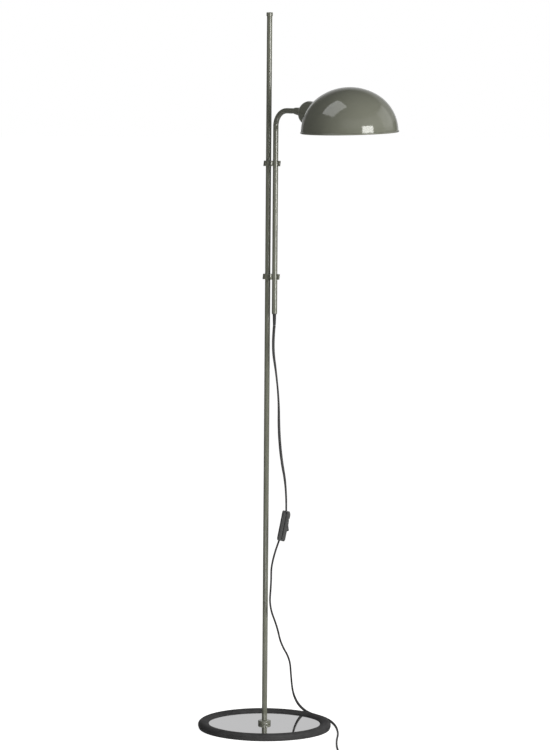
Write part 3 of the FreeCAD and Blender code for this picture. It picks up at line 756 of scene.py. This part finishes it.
def block(name, low, high, radius, steps=3, chosen=None):
    """A box in millimetres with its edges rounded, or only the chosen ones."""
    work = bmesh.new()
    bmesh.ops.create_cube(work, size=1.0)
    for vertex in work.verts:
        for axis in range(3):
            vertex.co[axis] = (high[axis] if vertex.co[axis] > 0 else low[axis]) * MM
    edges = [edge for edge in work.edges if chosen is None or chosen(edge)]
    bmesh.ops.bevel(work, geom=edges, offset=radius * MM, segments=steps, profile=0.5, affect="EDGES")
    mesh = bpy.data.meshes.new(name)
    work.to_mesh(mesh)
    work.free()
    piece = bpy.data.objects.new(name, mesh)
    bpy.context.scene.collection.objects.link(piece)
    return piece


# ---- Base ----

def base_ring():
    """The rubber ring: a groove that holds the disc, a low crown and a fine moulding line outside."""
    lip, crown, flank, foot = (105.5, 8.7), (115.75, 13.0), (126.0, 7.0), (124.5, 0.0)
    outline = [(105.6, 8.25), (118.0, 8.2), (118.0, 1.7), (108.0, 1.7), (108.0, 0.0)]
    outline += arc_through(foot, (125.7, 3.4), flank)
    outline += [(125.7, 7.25), (125.7, 7.55)]
    outline += arc_through((125.95, 7.8), (123.3, 11.4), crown, 12)
    outline += arc_through(crown, (109.6, 11.6), lip, 8)[1:]
    piece = lathe("rubber_ring", millimetres(outline), Matrix.Identity(4), 192)
    smooth(piece)
    paint(piece, finishes["ring_rubber"])
    put_on(piece, "base_ring")


# ---- Shade ----

def head_frames():
    """The head's axis frame, and the shade's frame with its small turn at rest."""
    joint = JOINTS["head_turn"]
    pivot, axis = Vector(joint["pos_m"]), Vector(joint["axis"])
    head = axis_frame(pivot, axis, HEAD_REST_TURN)
    turn = Matrix.Rotation(math.radians(HEAD_REST_TURN), 4, axis)
    shade = Matrix.Translation(pivot) @ turn @ Matrix.Translation(Vector(SHADE_CENTRE) - pivot)
    return head, shade


def dome_shape():
    side_x = SHADE_R - SHADE_SIDE_R
    lift = SHADE_HEIGHT - SHADE_SIDE_R
    drop = (side_x ** 2 - lift ** 2) / (2 * lift)
    return side_x, drop, math.atan2(drop, side_x)


def dome_points(offset, rise):
    """From rise above the base up the side and over to the axis."""
    side_x, drop, meet = dome_shape()
    side_r = SHADE_SIDE_R + offset
    top_r = SHADE_HEIGHT + drop + offset
    side = arc_points((side_x, 0.0), side_r, math.asin(rise / side_r), meet, 26)
    top = arc_points((0.0, -drop), top_r, meet, math.pi / 2, 18)
    return side + top[1:-1] + [(0.0, SHADE_HEIGHT + offset)]


def inside_the_shade(point):
    """True for points nearer to the shade's inner face than to its outer face."""
    side_x, drop, meet = dome_shape()
    radius = math.hypot(point.x, point.y)
    if math.atan2(point.z, radius - side_x) < meet:
        depth = SHADE_SIDE_R - math.hypot(radius - side_x, point.z)
    else:
        depth = SHADE_HEIGHT + drop - math.hypot(radius, point.z + drop)
    return depth > SHADE_WALL / 2 and point.z > RIM_R


def shade(head, place):
    """The spun dome with its rolled rim: enamel outside, white inside, and a hole for the lampholder."""
    rise_out = math.sqrt(RIM_R ** 2 - (SHADE_R - RIM_CENTRE_R) ** 2)
    rise_in = math.sqrt(RIM_R ** 2 - (SHADE_R - SHADE_WALL - RIM_CENTRE_R) ** 2)
    inner = dome_points(-SHADE_WALL, rise_in)
    outer = dome_points(0.0, rise_out)
    start = math.atan2(rise_in, SHADE_R - SHADE_WALL - RIM_CENTRE_R)
    end = math.atan2(rise_out, SHADE_R - RIM_CENTRE_R) + 2 * math.pi
    rim = arc_points((RIM_CENTRE_R, 0.0), RIM_R, start, end, 18)
    piece = lathe("shade_shell", inner[::-1] + rim[1:-1] + outer, place, 192)
    hole = [(0.0, HOLDER_HOLE_START), (HOLDER_HOLE_R, HOLDER_HOLE_START)]
    hole += [(HOLDER_HOLE_R, HOLDER_HOLE_END), (0.0, HOLDER_HOLE_END)]
    drill = lathe("drill", hole, head, 96)
    combine(piece, drill, "DIFFERENCE")
    paint(piece, finishes["lamp_paint"], white_enamel())
    back = place.inverted()
    for polygon in piece.data.polygons:
        polygon.material_index = 1 if inside_the_shade(back @ polygon.center) else 0
    smooth(piece)
    put_on(piece, "shade")


# ---- Head ----

def socket_cup(head, shade_place):
    """The cup that hides the lampholder; its mouth follows the shade."""
    def shoulder(radius, depth, neck_r):
        last = math.acos(neck_r / radius)
        steps = 14
        turns = [last * (1 - step / steps) for step in range(steps + 1)]
        return [(radius * math.cos(turn), 32.0 - depth * math.sin(turn)) for turn in turns]
    outline = [(6.4, 0.1), (6.8, 0.5), (7.9, 9.5)]
    outline += shoulder(22.5, 19.0, 8.9)
    outline += [(22.5, 80.0), (21.1, 80.0)]
    outline += shoulder(21.1, 15.0, 9.5)[::-1]
    outline += [(9.5, 18.0), (4.05, 18.0), (4.05, 0.1)]
    piece = lathe("cup_shell", millimetres(outline), head, 128)
    dome = [(0.0, 0.0), (SHADE_R + CUP_GAP, 0.0)] + dome_points(CUP_GAP, 0.0)[1:]
    seat = lathe("seat", dome, shade_place, 192)
    combine(piece, seat, "DIFFERENCE")
    smooth(piece, 30.0)
    paint(piece, finishes["lamp_paint"])
    put_on(piece, "socket_cup")


def bulb(head):
    """An opal globe on a screw cap with a rolled thread."""
    glass = [(0.0, 75.0), (12.0, 75.0), (12.4, 75.6), (12.45, 79.0)]
    glass += arc_points((0.0, 103.0), 22.5, -math.asin(0.82), math.pi / 2, 40)[:-1]
    glass += [(0.0, 125.5)]
    piece = lathe("bulb_globe", millimetres(glass), head, 96)
    smooth(piece, 50.0)
    paint(piece, finishes["bulb_glass"])
    put_on(piece, "bulb_glass")
    pitch, depth = 3.6 * MM, 0.5 * MM

    def thread(angle, height):
        return -depth * (0.5 - 0.5 * math.cos(2 * math.pi * height / pitch - angle))
    cap = [(0.0, 51.0), (6.5, 51.0)]
    cap += [(9.5 + 3.7 * min(1.0, step / 8), 52.0 + 0.5 * step) for step in range(46)]
    cap += [(12.6, 75.0), (0.0, 75.0)]
    piece = lathe("bulb_screw_cap", millimetres(cap), head, 64, thread)
    smooth(piece, 60.0)
    paint(piece, finishes["cap_aluminium"])
    put_on(piece, "bulb_cap")


# ---- Switch ----

def switch_frame():
    """The frame about the switch's centre: +X out of the rocker, +Z along the cord."""
    lean = Matrix.Rotation(math.radians(SWITCH_LEAN), 4, "Y")
    facing = Matrix.Rotation(math.radians(SWITCH_FACING), 4, "Z")
    return Matrix.Translation(SWITCH_CENTRE) @ facing @ lean


def switch_shells(place):
    """Two shells with a parting line; the front one has a raised end above the rocker and a low sill."""
    half_length, half_width, depth = 27.8, 11.0, 7.6

    def outer_edges(edge):
        flat = all(vertex.co.x < -0.001 for vertex in edge.verts)
        return flat or abs(edge.verts[0].co.x - edge.verts[1].co.x) > 0.001
    back = block("switch_back", (-depth, -half_width, -half_length), (-0.12, half_width, half_length),
                 2.4, 5, outer_edges)
    for end in (-20.0, 20.0):
        recess = block("recess", (-depth - 2, -2.4, end - 2.4), (-depth + 0.9, 2.4, end + 2.4), 1.0, 3)
        combine(back, recess, "DIFFERENCE")
    front = block("switch_front", (0.12, -half_width, -half_length), (6.9, half_width, half_length), 1.8, 4)
    head = block("head", (0.12, -half_width + 0.3, 16.5), (depth + 0.5, half_width - 0.3, 24.6), 0.9, 4)
    combine(front, head, "UNION")
    sill = block("sill", (0.12, -half_width + 0.6, -25.2), (depth, half_width - 0.6, 13.0), 0.8, 3)
    combine(front, sill, "UNION")
    window = block("window", (-0.6, -6.0, -11.2), (12.0, 6.0, 11.2), 0.4, 2)
    combine(front, window, "DIFFERENCE")
    for piece, node in ((back, "switch_back_shell"), (front, "switch_front_shell")):
        piece.data.transform(place)
        smooth(piece, 30.0)
        paint(piece, finishes["switch_plastic"])
        put_on(piece, node)
    return back, front


# ---- Plug ----

def plug_relief():
    """The tapered strain relief behind the plug, with its bending grooves."""
    place = Matrix.Translation((*COIL_CENTRE, 0)) @ Matrix.Rotation(math.radians(45), 4, "Z")
    place = place @ Matrix.Translation((-STUB_LENGTH, -COIL_OUTER, PLUG_AXIS_Z))
    place = place @ Matrix.Rotation(math.radians(-90), 4, "Y")
    outline = [(0.0, 0.0), (2.8, 0.0)]
    for groove in range(6):
        height = 2.0 + 3.1 * groove
        radius = 2.9 + 1.7 * height / 22.0
        outline += [(radius, height), (radius - 0.8, height + 0.4), (radius - 0.7, height + 1.3),
                    (radius + 0.15, height + 1.7)]
    outline += [(4.6, 22.0), (0.0, 22.0)]
    piece = lathe("plug_boot", millimetres(outline), place, 48)
    smooth(piece, 50.0)
    paint(piece, finishes["cord_sheath"])
    put_on(piece, "plug_relief")
    return piece


# Pieces whose shape is the CAD node's with softened edges: the width of the rounding in millimetres
EASED = {
    "pole_cap": 0.35,
    "pole_collar": 0.3,
    "swivel_collar": 0.35,
    "cable_bush": 0.25,
    "shade_ring": 0.35,
    "lampholder_body": 0.5,
    "nipple_nut": 0.3,
    "switch_rocker": 0.5,
    "cord_tie": 0.15,
    "plug_body": 1.0,
}


def clip(node):
    """The moulded clip with its edges eased."""
    piece = eased(node, CLIP_EASE)
    smooth(piece, 30.0)
    paint(piece, finishes["lamp_paint"])


def eased_pieces():
    made = {}
    for node, width in EASED.items():
        made[node] = eased(node, width * MM)
        paint(made[node], finishes[SLOTS[node]])
    paint(made["switch_rocker"], rocker_plastic())
    return made


# ---- Main ----

make_camera()
make_stage()
finishes = {slot: make() for slot, make in MATERIALS.items()}
upper, mains = make_cords(finishes["cord_sheath"])
for node, piece in NODES.items():
    paint(piece, finishes[SLOTS[node]])
head_place, shade_place = head_frames()
base_ring()
shade(head_place, shade_place)
socket_cup(head_place, shade_place)
bulb(head_place)
for node in ("upper_clip", "lower_clip"):
    clip(node)
shells = switch_shells(switch_frame())
boot = plug_relief()
soft_edged = eased_pieces()
switch_pieces = [*shells, soft_edged["switch_rocker"]]
switch_pieces += [NODES[node] for node in ("switch_screws", "switch_contacts", "rocker_pin")]
